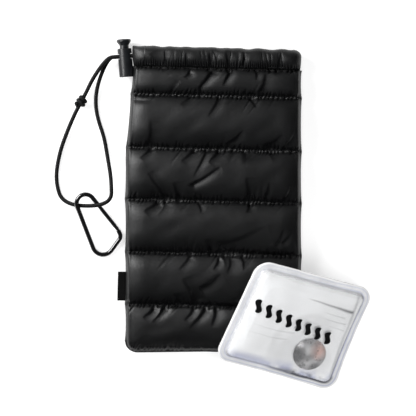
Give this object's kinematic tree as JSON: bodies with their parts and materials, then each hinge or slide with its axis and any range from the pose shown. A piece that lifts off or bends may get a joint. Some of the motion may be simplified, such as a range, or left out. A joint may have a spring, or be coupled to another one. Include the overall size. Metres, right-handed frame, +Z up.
{
  "type": "reusable heat pack with drawstring pouch",
  "caption": "Gel heat pack with a snap disc, leaning on its quilted drawstring pouch, which has a cord lock, a knotted cord and a small carabiner.",
  "frame": {"origin": "under the middle channel of the pouch's back, on the surface that the pouch lies on", "axes": "+Y towards the pouch's mouth, +X to the right seen from above, +Z up"},
  "size_m": [0.2365, 0.2601, 0.0477],
  "materials": {
    "shell_fabric": "satin woven nylon",
    "lining_fabric": "matt woven",
    "label_tape": "woven tape",
    "wadding": "soft fibre",
    "cord": "braided elastic cord",
    "lock_plastic": "satin",
    "spring_steel": "plain",
    "black_metal": "gloss",
    "clear_film": "clear",
    "gel": "clear gel",
    "disc_steel": "mottled"
  },
  "bodies": {
    "pouch": {"front_shell": "shell_fabric", "back_shell": "shell_fabric", "front_wadding": "wadding", "back_wadding": "wadding", "front_lining": "lining_fabric", "back_lining": "lining_fabric", "hem_front": "shell_fabric", "hem_back": "shell_fabric", "hem_fold_right": "shell_fabric", "hem_fold_left": "shell_fabric", "side_seam_left": "lining_fabric", "side_seam_right": "lining_fabric", "bottom_seam": "lining_fabric", "side_label": "label_tape", "drawcord_hem": "cord", "drawcord_loop": "cord", "cord_knot": "cord"},
    "cord_lock": {"lock_barrel": "lock_plastic", "lock_spring": "spring_steel"},
    "lock_button": {"lock_plunger": "lock_plastic"},
    "carabiner": {"carabiner_frame": "black_metal", "gate_rivet": "black_metal"},
    "carabiner_gate": {"carabiner_gate": "black_metal", "gate_spring": "spring_steel", "gate_pusher": "spring_steel"},
    "heat_pack": {"pack_upper_film": "clear_film", "pack_lower_film": "clear_film", "pack_gel": "gel"},
    "snap_disc": {"clicker_disc": "disc_steel"}
  },
  "joints": [
    {"name": "lock_along_cord", "type": "slide", "parent": "pouch", "child": "cord_lock", "axis": [-0.9971, -0.0767, 0], "range_m": [0, 0.0035]},
    {"name": "button_press", "type": "slide", "parent": "cord_lock", "child": "lock_button", "axis": [0.0767, -0.9971, 0], "range_m": [0, 0.0022], "stiffness_N_per_m": 1000, "deforming": ["lock_spring"]},
    {"name": "carabiner_swing", "type": "hinge", "parent": "pouch", "child": "carabiner", "pos_m": [-0.09475, 0.0162, 0.00831], "axis": [-0.9467, 0.0034, -0.3221], "range_deg": [0, 120]},
    {"name": "gate_swing", "type": "hinge", "parent": "carabiner", "child": "carabiner_gate", "pos_m": [-0.08573, 0.01585, 0.00702], "axis": [-0.1364, 0.1209, -0.9833], "range_deg": [0, 28], "stiffness_Nm_per_rad": 0.02},
    {"name": "pack_lift", "type": "slide", "parent": "pouch", "child": "heat_pack", "axis": [0, 0, 1], "range_m": [0, 0.06]},
    {"name": "disc_snap", "type": "slide", "parent": "heat_pack", "child": "snap_disc", "axis": [-0.1904, 0.3506, -0.917], "range_m": [0, 0.001], "stiffness_N_per_m": 2000}
  ]
}
